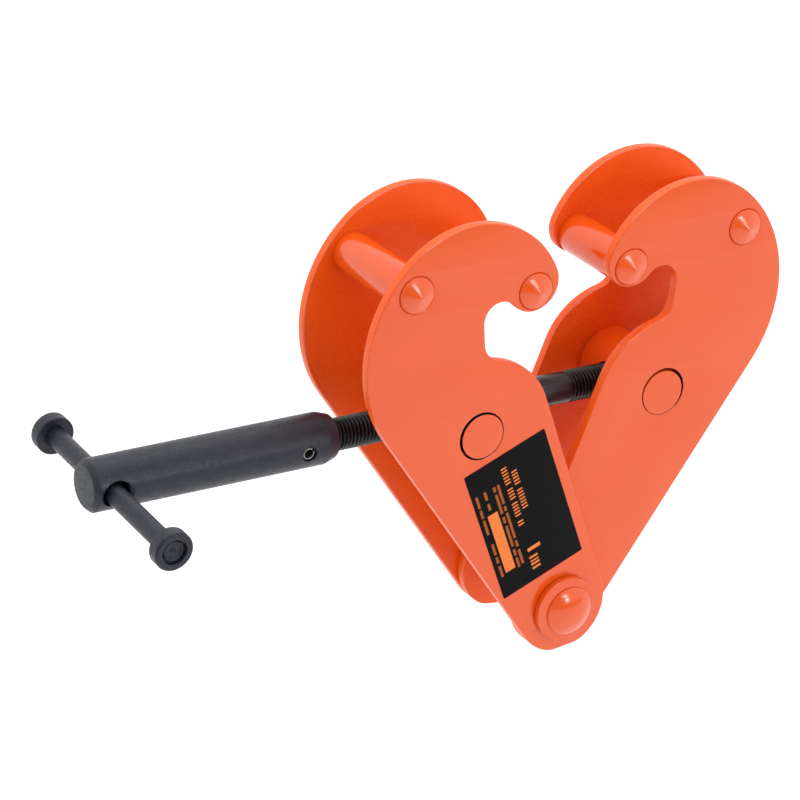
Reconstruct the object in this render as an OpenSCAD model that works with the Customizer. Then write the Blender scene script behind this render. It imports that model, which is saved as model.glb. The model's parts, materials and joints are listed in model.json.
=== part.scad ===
// Screw-adjusted beam clamp for hanging a hoist from an I-beam's lower flange.
// Two jaws, each a pair of flat plates joined by two cross bars, swing on one load bar at the
// bottom. A spindle with a left-hand and a right-hand thread runs through a trunnion nut in each
// jaw, so turning its handle opens or closes both jaws together.
// Millimetres. Origin at the centre of the load bar, X along the spindle with the handle towards
// -X, Y along the load bar, Z up. The jaws stand about 113 mm apart at their throats.

/* [Plates] */
// Thickness of each of the four jaw plates
plate_t = 5; // [4:0.5:5]
// Width of the clamp over the outer jaw's plates
width_over_plates = 63; // [60:0.5:70]
// Gap between an outer plate and the inner plate beside it
layer_gap = 0.4; // [0.3:0.1:0.6]
// Radius of a plate's lower end, about the load bar
lower_end_r = 24; // [23:0.5:25]
// Distance from the load bar to the flat on a plate's lower end
lower_flat = 22.8; // [22:0.1:24]
// Radius of the shoulder about the trunnion, below the throat
shoulder_r = 38.4; // [38:0.1:39]
// Radius of the throat's lower corner
throat_low_r = 10.7; // [10:0.1:11]
// Radius of the throat's upper corner
throat_top_r = 9.1; // [8.5:0.1:9.5]
// Radius of the hook tip around the inner cross bar
tip_r = 13.6; // [13.2:0.1:14]
// Radius of the crown above the hook tip
crown_r = 50; // [49:0.5:51]
// Radius of the jaw's back
back_r = 66.6; // [66:0.1:67]
// How far the right jaw leans towards the left one, in degrees, from its mirror place
right_jaw_lean = 0.45; // [0:0.05:0.5]

/* [Cross bars] */
// Sideways distance from the load bar to a jaw's outer cross bar
outer_bar_x = 94.6; // [93:0.1:96]
// Height of the outer cross bars above the load bar
outer_bar_z = 180; // [178:0.5:182]
// Sideways distance from the load bar to a jaw's inner cross bar, the one that grips the flange
inner_bar_x = 29.4; // [29:0.1:30]
// Height of the inner cross bars above the load bar
inner_bar_z = 170.8; // [170:0.1:172]
// Diameter of a cross bar between its plates
bar_d = 20; // [18:0.5:20]
// Diameter of a cross bar's ends, which pass through the plates
bar_end_d = 18; // [16:0.5:18]
// Length of the straight rim that stands proud of the plate
bar_rim = 0.8; // [0.4:0.1:1.2]
// Height of the point on each end of a cross bar
bar_point = 3.6; // [2:0.1:4]

/* [Load bar] */
// Diameter of the load bar where a hoist's hook hangs
load_bar_d = 22; // [20:0.5:22]
// Diameter of the load bar where the plates turn on it
load_journal_d = 16; // [15:0.5:17]
// Diameter of the washers outside the plates
load_washer_d = 32.8; // [30:0.2:34]
// Thickness of those washers
load_washer_t = 3; // [2:0.1:3]
// Diameter of the riveted head on each end of the load bar
load_head_d = 25; // [22:0.5:26]
// Height of the riveted head
load_head_h = 4.8; // [3:0.1:5]
// How far the riveted heads sit off the bar's axis, sideways
load_head_aside = 1.5; // [0:0.1:2]
// How far the riveted heads sit off the bar's axis, downwards
load_head_down = 1.3; // [0:0.1:2]

/* [Trunnion nuts] */
// Sideways distance from the load bar to a jaw's trunnion holes
trunnion_x = 53.9; // [53.6:0.1:54.1]
// Height of the trunnion holes above the load bar
trunnion_z = 101.5; // [101.4:0.1:101.7]
// Sideways distance from the load bar to the left nut
left_nut_x = 53.4; // [53.2:0.1:53.9]
// Sideways distance from the load bar to the right nut
right_nut_x = 52.9; // [52.8:0.1:53.2]
// Height of the nuts and the spindle above the load bar
spindle_z = 101.3; // [101.3:0.1:101.6]
// Diameter of a trunnion nut between its plates
nut_d = 34; // [30:0.5:34]
// Diameter of a trunnion nut's ends, which turn in the plates
nut_end_d = 22.5; // [20:0.1:22.6]
// Diameter of the holes that those ends turn in
trunnion_hole_d = 24; // [23.8:0.1:24.4]

/* [Spindle] */
// Diameter of the spindle over its threads
thread_d = 15.8; // [15:0.2:16]
// Diameter of the plain stretch between the two threads
spindle_mid_d = 15.4; // [14:0.2:15.6]
// Length of the plain stretch between the two threads
spindle_mid_len = 26; // [20:1:40]
// Distance from the load bar to the far end of the right-hand thread
thread_end_x = 110; // [109:0.5:112]
// Diameter of the journal on the far end that carries the stop washer
stop_journal_d = 11; // [10:0.5:12]
// Diameter of the stop washer
stop_washer_d = 24; // [20:0.5:26]

/* [Handle] */
// Diameter of the handle sleeve
sleeve_d = 25; // [24:0.5:26]
// Distance from the load bar to the sleeve's outer end
sleeve_outer_x = 245.5; // [240:0.5:250]
// Distance from the load bar to the sleeve's inner end
sleeve_inner_x = 118.3; // [114:0.1:120]
// Distance from the load bar to the roll pin
roll_pin_x = 135.4; // [134:0.1:137]
// Diameter of the roll pin
roll_pin_d = 6; // [5:0.5:6]
// Distance from the load bar to the tommy bar
tommy_x = 235; // [230:0.5:236]
// Diameter of the tommy bar
tommy_d = 9.7; // [8:0.1:10]
// Length of the tommy bar over its end caps
tommy_len = 123; // [110:1:130]
// Diameter of the end caps
cap_d = 18.9; // [16:0.1:20]
// Length of each end cap
cap_len = 7; // [6:0.5:9]
// How far the tommy bar has slid towards the front of the clamp
tommy_slid = 5.4; // [0:0.1:20]
// Tilt of the loose tommy bar from level, front end down
tommy_tilt = 3.3; // [3:0.1:8]
// Turn of the handle sleeve from level, front end down
handle_turn = 5.5; // [3:0.1:8]

/* [Rating label] */
// Width of the label
label_w = 46.8; // [40:0.2:48]
// Length of the label
label_len = 75; // [60:1:78]
// Thickness of the label
label_t = 0.3; // [0.2:0.1:0.5]

/* [Hidden] */

orange = [0.93, 0.38, 0.22];
black_oxide = [0.24, 0.24, 0.26];
zinc = [0.62, 0.62, 0.60];
label_black = [0.12, 0.12, 0.11];

// Layers across the clamp, as distances from its middle plane
outer_face = width_over_plates / 2;
outer_inside = outer_face - plate_t;
inner_face = outer_inside - layer_gap;
inner_inside = inner_face - plate_t;

// Fits
press_gap = 0.05;        // between pieces that are fixed together
running_gap = 0.05;      // between pieces that turn or slide in each other
thread_play = 0.3;       // between the spindle's thread and the nuts, as the nuts rise unevenly
side_gap = 0.3;          // between side faces that move past each other

// Headings along the plate outline, in degrees from +X, walking anticlockwise round the left jaw
inner_edge_lean = 21.2;  // lean of the straight inner edge from upright
outer_edge_lean = 35.4;  // lean of the straight outer edge from upright
shelf_heading = 168.3;   // where the shoulder meets the throat
throat_heading = 96.2;   // up the back of the throat
hook_heading = -44.9;    // down towards the hook tip
tip_heading = 114.4;     // where the tip's small radius meets the crown
crown_heading = 223;     // where the crown meets the back
inner_edge_len = 114.25; // straight inner edge
throat_back_len = 10.05; // straight back of the throat
hook_len = 1.6;          // straight stretch above the hook tip
lower_flat_at = 277;     // where the flat on the lower end faces
flat_corner_r = 14;      // rounding at both ends of that flat
arc_step = 3;            // degrees between points on an arc

// Cross bars
bar_tip_r = 0.4;         // blunt tip of the point on each end

// Load bar
load_head_rim = 0.7;     // straight rim of the head, below its dome
dome_steps = 8;

// Spindle and handle
shank_d = 13.6;          // plain end of the spindle inside the sleeve
shank_len = 38;
roll_pin_bore_d = 3.8;
roll_pin_slot = 1.2;
roll_pin_slot_angle = 35;
roll_pin_sunk = 0.8;     // how deep the pin's ends lie below the sleeve's surface
roll_pin_len = sleeve_d - 2 * roll_pin_sunk;
roll_pin_hole_gap = 0.3; // round the pin, in the sleeve only
sleeve_outer_face_d = 20.5;
sleeve_outer_chamfer = 2.2;
sleeve_inner_face_d = 21;
sleeve_inner_chamfer = 6;
tommy_hole_x = 234.3;    // the hole is wider than the bar, which rests low on one side of it
tommy_hole_d = 13.2;
tommy_hole_mouth_d = 16.4;
tommy_drop = 0.95;
cap_chamfer = 0.8;
cap_recess_d = 12.1;
cap_recess = 2.4;
end_dimple_d = 4.4;      // centre dimple in the tommy bar's ends
end_dimple = 1.8;
end_dimple_tip_r = 0.3;

// Stop at the far end of the spindle
stop_washer_t = 2.8;
ring_t = 1;
ring_groove_d = 10;
ring_d = 16;
ring_opening = 5;
journal_end = 3;         // journal left beyond the ring
journal_chamfer = 1;

// Trunnion nuts
nut_chamfer = 0.8;

// Rating label, on the front of the left jaw
label_at = [-26.9, 55.3];
label_turn = 21.6;
label_corner_r = 0.6;

$fn = 96;

// ---------- Helpers ----------

function unit(heading) = [cos(heading), sin(heading)];
function left_of(heading) = [-sin(heading), cos(heading)];

// Points after `start` along an arc. A positive radius turns left, a negative one turns right.
function arc_points(start, heading, r, end_heading) =
    let (
        centre = start + r * left_of(heading),
        steps = ceil(abs(end_heading - heading) / arc_step)
    )
    [for (i = [1:steps])
        let (now = heading + (end_heading - heading) * i / steps)
        centre - r * left_of(now)];

// Walks a list of stretches, each [radius, heading at the arc's end, straight length after it]
function walk(stretches, start, heading, i = 0) =
    i == len(stretches) ? [] :
    let (
        s = stretches[i],
        arc = arc_points(start, heading, s[0], s[1]),
        arc_end = arc[len(arc) - 1],
        straight_end = arc_end + s[2] * unit(s[1]),
        straight = s[2] > 0 ? [straight_end] : []
    )
    concat(arc, straight, walk(stretches, straight_end, s[1], i + 1));

// Cylinder along X or along Y, from one coordinate to another
module rod_x(d, x0, x1, y = 0, z = 0) {
    translate([x0, y, z]) rotate([0, 90, 0]) cylinder(d = d, h = x1 - x0);
}

module rod_y(d, y0, y1, x = 0, z = 0) {
    translate([x, y1, z]) rotate([90, 0, 0]) cylinder(d = d, h = y1 - y0);
}

// Turned piece along Y, from [distance along Y, radius] points
module turned_y(profile, x = 0, z = 0) {
    translate([x, 0, z]) rotate([-90, 0, 0]) rotate_extrude()
        polygon([for (p = profile) [p[1], p[0]]]);
}

// Turned piece along X at spindle height, from [distance along X, radius] points
module turned_x(profile) {
    translate([0, 0, spindle_z]) rotate([0, 90, 0]) rotate_extrude()
        polygon([for (p = profile) [p[1], p[0]]]);
}

// Turned piece made the same at both ends: its profile for +Y, mirrored for -Y
function both_ends(half) = concat(
    [[half[len(half) - 1][0], 0]],
    [for (i = [len(half) - 1:-1:0]) half[i]],
    [for (p = half) [-p[0], p[1]]],
    [[-half[len(half) - 1][0], 0]]
);

// Puts a piece of the handle in place: it is drawn along Y at x = 0, z = 0
module on_handle(x) {
    translate([x, 0, spindle_z]) rotate([handle_turn, 0, 0]) children();
}

// Puts the loose tommy bar and its caps in place
module on_tommy() {
    translate([-tommy_x, 0, spindle_z - tommy_drop]) rotate([tommy_tilt, 0, 0])
        translate([0, -tommy_slid, 0]) children();
}

// ---------- Jaw plates ----------

// Outline of a left jaw plate, walking up the inner edge, round the throat and hook, over the
// back and round the lower end
function plate_outline() =
    let (
        first = lower_end_r * unit(inner_edge_lean),
        up = 90 + inner_edge_lean,
        down = 270 + outer_edge_lean,
        stretches = [
            [shoulder_r, shelf_heading, 0],
            [-throat_low_r, throat_heading, throat_back_len],
            [-throat_top_r, hook_heading, hook_len],
            [tip_r, tip_heading, 0],
            [crown_r, crown_heading, 0],
            [back_r, down, 0]
        ],
        last = lower_end_r * unit(180 + outer_edge_lean),
        flat_half = acos((lower_flat - flat_corner_r) / (lower_end_r - flat_corner_r)),
        flat_start = lower_flat_at - flat_half,
        flat_end = lower_flat_at + flat_half,
        corner = (lower_end_r - flat_corner_r) * unit(flat_end) + flat_corner_r * unit(lower_flat_at)
    )
    concat(
        [first],
        [first + inner_edge_len * unit(up)],
        walk(stretches, first + inner_edge_len * unit(up), up),
        [last],
        arc_points(last, down, lower_end_r, 90 + flat_start),
        arc_points(lower_end_r * unit(flat_start), 90 + flat_start, flat_corner_r, 90 + lower_flat_at),
        [corner],
        arc_points(corner, 90 + lower_flat_at, flat_corner_r, 90 + flat_end),
        arc_points(lower_end_r * unit(flat_end), 90 + flat_end, lower_end_r, 450 + inner_edge_lean)
    );

// side is -1 for the left jaw and 1 for the right, y0 is the plate's face nearer the front
module jaw_plate(side, y0) {
    color(orange)
    difference() {
        translate([0, y0 + plate_t, 0]) rotate([90, 0, 0]) linear_extrude(plate_t)
            scale([-side, 1]) polygon(plate_outline());
        plate_hole(load_journal_d + 2 * running_gap, y0, 0, 0);
        plate_hole(bar_end_d + 2 * press_gap, y0, side * outer_bar_x, outer_bar_z);
        plate_hole(bar_end_d + 2 * press_gap, y0, side * inner_bar_x, inner_bar_z);
        plate_hole(trunnion_hole_d, y0, side * trunnion_x, trunnion_z);
    }
}

module plate_hole(d, y0, x, z) {
    rod_y(d, y0 - 1, y0 + plate_t + 1, x, z);
}

// Puts the right jaw's own pieces in place: they are drawn where they mirror the left jaw
module on_right_jaw() {
    rotate([0, -right_jaw_lean, 0]) children();
}

module left_plate_front() { jaw_plate(-1, -outer_face); }
module left_plate_rear() { jaw_plate(-1, outer_inside); }
module right_plate_front() { on_right_jaw() jaw_plate(1, -inner_face); }
module right_plate_rear() { on_right_jaw() jaw_plate(1, inner_inside); }

// ---------- Cross bars ----------

// inside and outside are the distances from the middle to the two faces of the jaw's plates
module cross_bar(x, z, inside, outside) {
    color(orange)
    turned_y(both_ends([
        [inside, bar_d / 2],
        [inside, bar_end_d / 2],
        [outside + bar_rim, bar_end_d / 2],
        [outside + bar_rim + bar_point, bar_tip_r]
    ]), x, z);
}

module left_outer_bar() { cross_bar(-outer_bar_x, outer_bar_z, outer_inside, outer_face); }
module left_inner_bar() { cross_bar(-inner_bar_x, inner_bar_z, outer_inside, outer_face); }
module right_outer_bar() {
    on_right_jaw() cross_bar(outer_bar_x, outer_bar_z, inner_inside, inner_face);
}
module right_inner_bar() {
    on_right_jaw() cross_bar(inner_bar_x, inner_bar_z, inner_inside, inner_face);
}

// ---------- Load bar ----------

washer_near = outer_face + side_gap;
washer_far = washer_near + load_washer_t;

module load_bar() {
    rivet_end = washer_far + load_head_rim;
    color(orange)
    union() {
        turned_y(both_ends([
            [inner_inside - side_gap, load_bar_d / 2],
            [inner_inside - side_gap, load_journal_d / 2],
            [rivet_end, load_journal_d / 2]
        ]));
        for (end = [0, 180])
            translate([load_head_aside, 0, -load_head_down]) rotate([end, 0, 0]) load_head();
    }
}

// Domed head on the +Y end of the load bar
module load_head() {
    head_r = load_head_d / 2;
    dome_h = load_head_h - load_head_rim;
    dome_r = (head_r * head_r + dome_h * dome_h) / (2 * dome_h);
    rim_slope = asin(head_r / dome_r);
    turned_y(concat(
        [[washer_far, 0], [washer_far, head_r]],
        [for (i = [0:dome_steps - 1])
            let (slope = rim_slope * (1 - i / dome_steps))
            [washer_far + load_head_h - dome_r * (1 - cos(slope)), dome_r * sin(slope)]],
        [[washer_far + load_head_h, 0]]
    ));
}

module load_washer(y0) {
    color(orange)
    difference() {
        rod_y(load_washer_d, y0, y0 + load_washer_t);
        rod_y(load_journal_d + 2 * press_gap, y0 - 1, y0 + load_washer_t + 1);
    }
}

module load_washer_front() { load_washer(-washer_far); }
module load_washer_rear() { load_washer(washer_near); }

// ---------- Trunnion nuts ----------

// inside and outside are the distances from the middle to the two faces of the jaw's plates
module trunnion_nut(x, inside, outside) {
    barrel = inside - side_gap;
    color(orange)
    difference() {
        turned_y(both_ends([
            [barrel - nut_chamfer, nut_d / 2],
            [barrel, nut_d / 2 - nut_chamfer],
            [barrel, nut_end_d / 2],
            [outside - nut_chamfer / 2, nut_end_d / 2],
            [outside, nut_end_d / 2 - nut_chamfer / 2]
        ]), x, spindle_z);
        rod_x(thread_d + 2 * thread_play, x - nut_d, x + nut_d, 0, spindle_z);
    }
}

module left_nut() { trunnion_nut(-left_nut_x, outer_inside, outer_face); }
module right_nut() { trunnion_nut(right_nut_x, inner_inside, inner_face); }

// ---------- Spindle ----------

washer_x = thread_end_x + press_gap;
ring_x = washer_x + stop_washer_t + press_gap;

// The threads run at their outside diameter, as plain cylinders
module spindle() {
    mid = spindle_mid_len / 2;
    journal_r = stop_journal_d / 2;
    groove_r = ring_groove_d / 2;
    tip_x = ring_x + ring_t + press_gap + journal_end;
    color(black_oxide)
    difference() {
        turned_x([
            [-sleeve_inner_x - shank_len, 0],
            [-sleeve_inner_x - shank_len, shank_d / 2],
            [-sleeve_inner_x + press_gap, shank_d / 2],
            [-sleeve_inner_x + press_gap, thread_d / 2],
            [-mid, thread_d / 2],
            [-mid, spindle_mid_d / 2],
            [mid, spindle_mid_d / 2],
            [mid, thread_d / 2],
            [thread_end_x, thread_d / 2],
            [thread_end_x, journal_r],
            [ring_x, journal_r],
            [ring_x, groove_r],
            [ring_x + ring_t + press_gap, groove_r],
            [ring_x + ring_t + press_gap, journal_r],
            [tip_x - journal_chamfer, journal_r],
            [tip_x, journal_r - journal_chamfer],
            [tip_x, 0]
        ]);
        on_handle(-roll_pin_x) rod_y(roll_pin_d + 2 * press_gap, -shank_d, shank_d);
    }
}

module stop_washer() {
    color(zinc)
    difference() {
        rod_x(stop_washer_d, washer_x, washer_x + stop_washer_t, 0, spindle_z);
        rod_x(stop_journal_d + 2 * running_gap, washer_x - 1, washer_x + stop_washer_t + 1, 0, spindle_z);
    }
}

// Open ring that snaps into the spindle's groove
module retaining_ring() {
    color(black_oxide)
    difference() {
        rod_x(ring_d, ring_x, ring_x + ring_t, 0, spindle_z);
        rod_x(ring_groove_d + 2 * press_gap, ring_x - 1, ring_x + ring_t + 1, 0, spindle_z);
        translate([ring_x - 1, -ring_opening / 2, spindle_z])
            cube([ring_t + 2, ring_opening, ring_d]);
    }
}

// ---------- Handle ----------

module handle_sleeve() {
    r = sleeve_d / 2;
    bore_r = shank_d / 2 + press_gap;
    bore_end_x = -sleeve_inner_x - shank_len - 1;
    mouth = (tommy_hole_mouth_d - tommy_hole_d) / 2;
    color(black_oxide)
    difference() {
        turned_x([
            [-sleeve_outer_x, 0],
            [-sleeve_outer_x, sleeve_outer_face_d / 2],
            [-sleeve_outer_x + sleeve_outer_chamfer, r],
            [-sleeve_inner_x - sleeve_inner_chamfer, r],
            [-sleeve_inner_x, sleeve_inner_face_d / 2],
            [-sleeve_inner_x, bore_r],
            [bore_end_x, bore_r],
            [bore_end_x, 0]
        ]);
        on_handle(-roll_pin_x) rod_y(roll_pin_d + 2 * roll_pin_hole_gap, -sleeve_d, sleeve_d);
        on_handle(-tommy_hole_x) rod_y(tommy_hole_d, -sleeve_d, sleeve_d);
        for (end = [0, 180])
            on_handle(-tommy_hole_x) rotate([0, 0, end]) translate([0, -r - 0.5, 0]) rotate([-90, 0, 0])
                cylinder(d1 = tommy_hole_mouth_d + 1, d2 = tommy_hole_d, h = mouth + 1);
    }
}

// Rolled steel pin with an open slot along it
module roll_pin() {
    half = roll_pin_len / 2;
    color(zinc)
    on_handle(-roll_pin_x)
    difference() {
        rod_y(roll_pin_d, -half, half);
        rod_y(roll_pin_bore_d, -half - 1, half + 1);
        rotate([0, -roll_pin_slot_angle, 0]) translate([0, -half - 1, -roll_pin_slot / 2])
            cube([roll_pin_d, roll_pin_len + 2, roll_pin_slot]);
    }
}

module tommy_bar() {
    half = tommy_len / 2 - cap_recess / 2;
    color(black_oxide)
    on_tommy()
    turned_y(both_ends([
        [half, tommy_d / 2],
        [half, end_dimple_d / 2],
        [half - end_dimple, end_dimple_tip_r]
    ]));
}

// Ring pressed on the bar's end, with a recess round the bar in its outer face
module tommy_cap(side) {
    near = tommy_len / 2 - cap_len;
    far = tommy_len / 2;
    r = cap_d / 2;
    bore_r = tommy_d / 2 + press_gap;
    color(black_oxide)
    on_tommy() rotate([0, 0, side > 0 ? 0 : 180])
    turned_y([
        [near, bore_r],
        [near, r - cap_chamfer / 2],
        [near + cap_chamfer / 2, r],
        [far - cap_chamfer, r],
        [far, r - cap_chamfer],
        [far, cap_recess_d / 2],
        [far - cap_recess, cap_recess_d / 2],
        [far - cap_recess, bore_r]
    ]);
}

module tommy_cap_near() { tommy_cap(-1); }
module tommy_cap_far() { tommy_cap(1); }

// ---------- Rating label ----------

module rating_label() {
    w = label_w - 2 * label_corner_r;
    h = label_len - 2 * label_corner_r;
    color(label_black)
    translate([label_at[0], -outer_face, label_at[1]]) rotate([0, -label_turn, 0]) rotate([90, 0, 0])
    linear_extrude(label_t) union() {
        square([label_w, h], center = true);
        square([w, label_len], center = true);
        for (sx = [-1, 1], sz = [-1, 1])
            translate([sx * w / 2, sz * h / 2]) circle(r = label_corner_r);
    }
}

left_plate_front();
left_plate_rear();
left_outer_bar();
left_inner_bar();
rating_label();
right_plate_front();
right_plate_rear();
right_outer_bar();
right_inner_bar();
load_bar();
load_washer_front();
load_washer_rear();
left_nut();
right_nut();
spindle();
handle_sleeve();
roll_pin();
retaining_ring();
stop_washer();
tommy_bar();
tommy_cap_near();
tommy_cap_far();
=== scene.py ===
"""Beam clamp: finished pieces, materials, light and camera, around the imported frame.

Metres, in the frame's own axes: X along the spindle with the handle towards -X, Y along the
load bar, Z up, origin at the load bar's centre. Sizes that the frame holds are read from it.
"""

import json
import math

import bmesh
import bpy
from mathutils import Matrix, Vector
from mathutils.geometry import tessellate_polygon

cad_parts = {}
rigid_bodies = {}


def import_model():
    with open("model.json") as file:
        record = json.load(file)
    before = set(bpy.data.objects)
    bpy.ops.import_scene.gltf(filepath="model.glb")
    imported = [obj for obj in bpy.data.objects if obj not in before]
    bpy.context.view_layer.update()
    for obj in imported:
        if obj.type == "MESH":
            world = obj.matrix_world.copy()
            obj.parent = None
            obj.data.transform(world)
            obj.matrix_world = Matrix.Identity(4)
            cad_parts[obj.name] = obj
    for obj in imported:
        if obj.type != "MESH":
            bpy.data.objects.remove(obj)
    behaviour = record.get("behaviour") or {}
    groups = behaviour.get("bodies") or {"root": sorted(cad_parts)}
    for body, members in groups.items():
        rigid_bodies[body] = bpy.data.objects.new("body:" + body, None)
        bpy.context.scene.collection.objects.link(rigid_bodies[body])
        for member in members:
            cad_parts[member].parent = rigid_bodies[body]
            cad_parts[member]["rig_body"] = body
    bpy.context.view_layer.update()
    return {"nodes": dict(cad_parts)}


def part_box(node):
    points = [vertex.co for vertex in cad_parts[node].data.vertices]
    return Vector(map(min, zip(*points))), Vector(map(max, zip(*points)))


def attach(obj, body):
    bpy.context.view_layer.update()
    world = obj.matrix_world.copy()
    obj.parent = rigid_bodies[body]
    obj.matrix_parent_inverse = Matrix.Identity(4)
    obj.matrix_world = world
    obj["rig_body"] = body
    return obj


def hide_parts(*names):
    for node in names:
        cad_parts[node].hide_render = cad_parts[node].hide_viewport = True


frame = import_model()

MM = 0.001
WELD = 0.002 * MM            # points closer than this are one point
SHARP = math.radians(38)     # edges over this angle are drawn as edges
TURNED_SIDES = 128           # sides of a turned piece
SMALL_EASE = 0.3 * MM        # rounding of the edges of nuts, spindle, stop and holes
FIT_GAP = 0.05 * MM          # gap between two pieces that fit round each other
SIDE_PLAY = 0.3 * MM         # play between the jaws' plates and what lies between them
PAST_END = 10 * MM           # how far a cutter runs past the ends of what it cuts
PAST_SIDE = 1 * MM           # how far a cutter runs past a round side


# ---------- Sizes read from the frame ----------

def middle(node):
    """The middle of a node's box."""
    low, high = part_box(node)
    return (low + high) / 2


def radius(node, across=0):
    """Half a round piece's width along an axis: 0 is X, 1 is Y and 2 is Z."""
    low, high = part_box(node)
    return (high[across] - low[across]) / 2


def reach(node, along):
    """(lowest, highest) coordinate of a node along an axis, numbered in the same way."""
    low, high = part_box(node)
    return low[along], high[along]


# ---------- Meshes ----------

def add_piece(name, bm, node, material, body=None):
    """Makes an object of bm. It stands for the CAD node, unless it is extra detail on a body."""
    bmesh.ops.remove_doubles(bm, verts=bm.verts, dist=WELD)
    bmesh.ops.recalc_face_normals(bm, faces=bm.faces)
    mesh = bpy.data.meshes.new(name)
    bm.to_mesh(mesh)
    bm.free()
    mesh.shade_smooth()
    mesh.set_sharp_from_angle(angle=SHARP)
    mesh.materials.append(material)
    piece = bpy.data.objects.new(name, mesh)
    bpy.context.scene.collection.objects.link(piece)
    if node:
        body = frame["nodes"][node]["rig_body"]
        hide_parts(node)
    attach(piece, body)
    return piece


def eased(outline, ease, closed=False, steps=4):
    """The outline with each corner turned into a small arc that reaches ease along its sides."""
    points = [Vector(p) for p in outline]
    out = []
    for i, corner in enumerate(points):
        if not closed and i in (0, len(points) - 1):
            out.append(corner)
            continue
        before = points[i - 1] - corner
        after = points[(i + 1) % len(points)] - corner
        cut = min(ease, before.length * 0.45, after.length * 0.45)
        start = corner + before.normalized() * cut
        end = corner + after.normalized() * cut
        for k in range(steps + 1):
            t = k / steps
            out.append((1 - t) ** 2 * start + 2 * t * (1 - t) * corner + t * t * end)
    return out


def ring_strip(bm, rings):
    """Joins rings of equally many vertices with faces, each ring closed on itself."""
    for near, far in zip(rings, rings[1:]):
        count = len(near)
        for i in range(count):
            j = (i + 1) % count
            corners = [near[i], near[j], far[j], far[i]]
            if len(set(corners)) == len(corners):
                bm.faces.new(corners)


ALONG_Y = Matrix.Rotation(math.pi / 2, 4, "Z")     # lays a turned piece along Y


def turned(outline, place, sides=TURNED_SIDES, closed=False):
    """A turned solid in a new bmesh, from (distance, radius) points along the local X axis."""
    bm = bmesh.new()
    rings = []
    for distance, r in outline:
        if r < WELD:
            tip = bm.verts.new(place @ Vector((distance, 0, 0)))
            rings.append([tip])
            continue
        rings.append([
            bm.verts.new(place @ Vector((distance, r * math.cos(a), r * math.sin(a))))
            for a in (2 * math.pi * k / sides for k in range(sides))
        ])
    pairs = list(zip(rings, rings[1:]))
    if closed:
        pairs.append((rings[-1], rings[0]))
    for near, far in pairs:
        for i in range(sides):
            j = (i + 1) % sides
            corners = [near[i % len(near)], near[j % len(near)],
                       far[j % len(far)], far[i % len(far)]]
            corners = list(dict.fromkeys(corners))
            if len(corners) > 2:
                bm.faces.new(corners)
    return bm


def mirrored(half):
    """A profile made the same at both ends, from its half with the distance above zero."""
    return [(-d, r) for d, r in half] + [(d, r) for d, r in reversed(half)]


def flat_loops(node):
    """The outline and holes of a flat plate, as closed loops of (x, z), read from its front."""
    front_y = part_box(node)[0].y
    bm = bmesh.new()
    bm.from_mesh(frame["nodes"][node].data)
    bmesh.ops.remove_doubles(bm, verts=bm.verts, dist=WELD)
    # a list as well as a set, because a set's order changes from run to run
    front = [f for f in bm.faces if all(abs(v.co.y - front_y) < WELD for v in f.verts)]
    in_front = set(front)
    follows = {}
    for face in front:
        for corner in face.loops:
            if sum(f in in_front for f in corner.edge.link_faces) == 1:
                follows[corner.vert] = corner.link_loop_next.vert
    loops = []
    while follows:
        start, vert = follows.popitem()
        loop = [start]
        while vert != start:
            loop.append(vert)
            vert = follows.pop(vert)
        loops.append([Vector((v.co.x, v.co.z)) for v in loop])
    bm.free()
    return loops


def inset(loop, distance):
    """The loop moved sideways, to its left as it runs."""
    out = []
    for i, point in enumerate(loop):
        before = (point - loop[i - 1]).normalized()
        after = (loop[(i + 1) % len(loop)] - point).normalized()
        left_before = Vector((-before.y, before.x))
        left_after = Vector((-after.y, after.x))
        share = 1 + left_before.dot(left_after)
        out.append(point + (left_before + left_after) * distance / share)
    return out


def slab(loops, front_y, back_y, ease, place=Matrix.Identity(4), steps=4):
    """A flat solid between two faces, with eased rims. Its loops run anticlockwise round solid
    and clockwise round holes, as seen from the front."""
    bm = bmesh.new()
    section = []
    for k in range(steps + 1):
        turn = math.pi / 2 * k / steps
        section.append((ease * (1 - math.sin(turn)), front_y + ease * (1 - math.cos(turn))))
    section += [(aside, front_y + back_y - y) for aside, y in reversed(section)]
    faces = {front_y: [], back_y: []}
    for loop in loops:
        rings = []
        for aside, y in section:
            moved = inset(loop, aside)
            rings.append([bm.verts.new(place @ Vector((p.x, y, p.y))) for p in moved])
        ring_strip(bm, rings)
        faces[front_y].append((rings[0], inset(loop, ease)))
        faces[back_y].append((rings[-1], inset(loop, ease)))
    for sets in faces.values():
        verts = [v for ring, _ in sets for v in ring]
        flat = [[p.to_3d() for p in outline] for _, outline in sets]
        for corners in tessellate_polygon(flat):
            bm.faces.new([verts[i] for i in corners])
    return bm


def arc(r, start, end, centre=(0, 0), points=64):
    """Points round an arc, from one angle in degrees to another, both included."""
    loop = []
    for k in range(points):
        a = math.radians(start + (end - start) * k / (points - 1))
        loop.append(Vector((centre[0] + r * math.cos(a), centre[1] + r * math.sin(a))))
    return loop


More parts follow.
